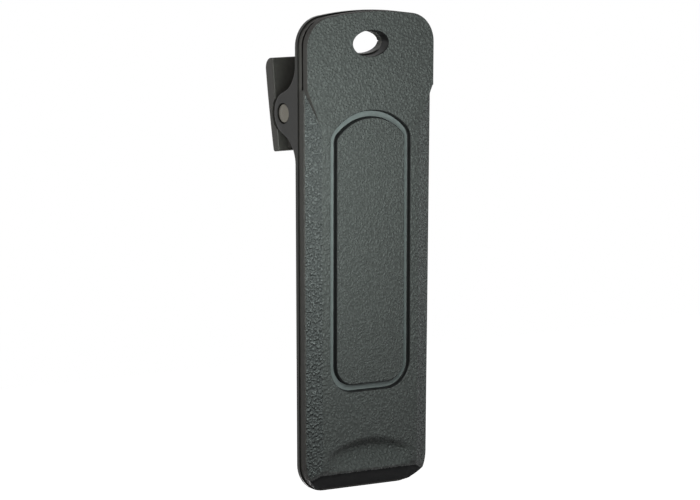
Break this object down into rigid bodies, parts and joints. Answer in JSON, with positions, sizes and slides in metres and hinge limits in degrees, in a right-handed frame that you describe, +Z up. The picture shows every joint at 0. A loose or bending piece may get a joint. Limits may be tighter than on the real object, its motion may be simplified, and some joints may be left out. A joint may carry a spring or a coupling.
{
  "type": "spring belt clip",
  "caption": "Sprung belt clip for a hand-held radio: grained lever with lanyard slot, hinged on a pin in a mounting bracket and held shut by torsion springs.",
  "frame": {"origin": "centre of the bracket's face that lies on the radio", "axes": "+X across the clip, +Y out of the mounting face into the radio, +Z up towards the lever's head"},
  "size_m": [0.0306, 0.0168, 0.0959],
  "materials": {
    "grained_moulding": "leather-grained black glass-filled nylon",
    "smooth_moulding": "smooth satin black glass-filled nylon",
    "bracket_moulding": "smooth satin black plastic",
    "pin_steel": "dull turned steel",
    "spring_steel": "drawn spring wire"
  },
  "bodies": {
    "bracket": {"mounting_bracket": "bracket_moulding", "torsion_spring_left": "spring_steel", "torsion_spring_right": "spring_steel"},
    "lever": {"front_cover": "grained_moulding", "lever_frame": "smooth_moulding", "hinge_pin": "pin_steel"}
  },
  "joints": [
    {"name": "lever_hinge", "type": "hinge", "parent": "bracket", "child": "lever", "pos_m": [0, -0.00556, -0.0019], "axis": [-1, 0, 0], "range_deg": [0, 38], "stiffness_Nm_per_rad": 0.3, "springref_deg": -34.38, "deforming": ["torsion_spring_left", "torsion_spring_right"]}
  ]
}
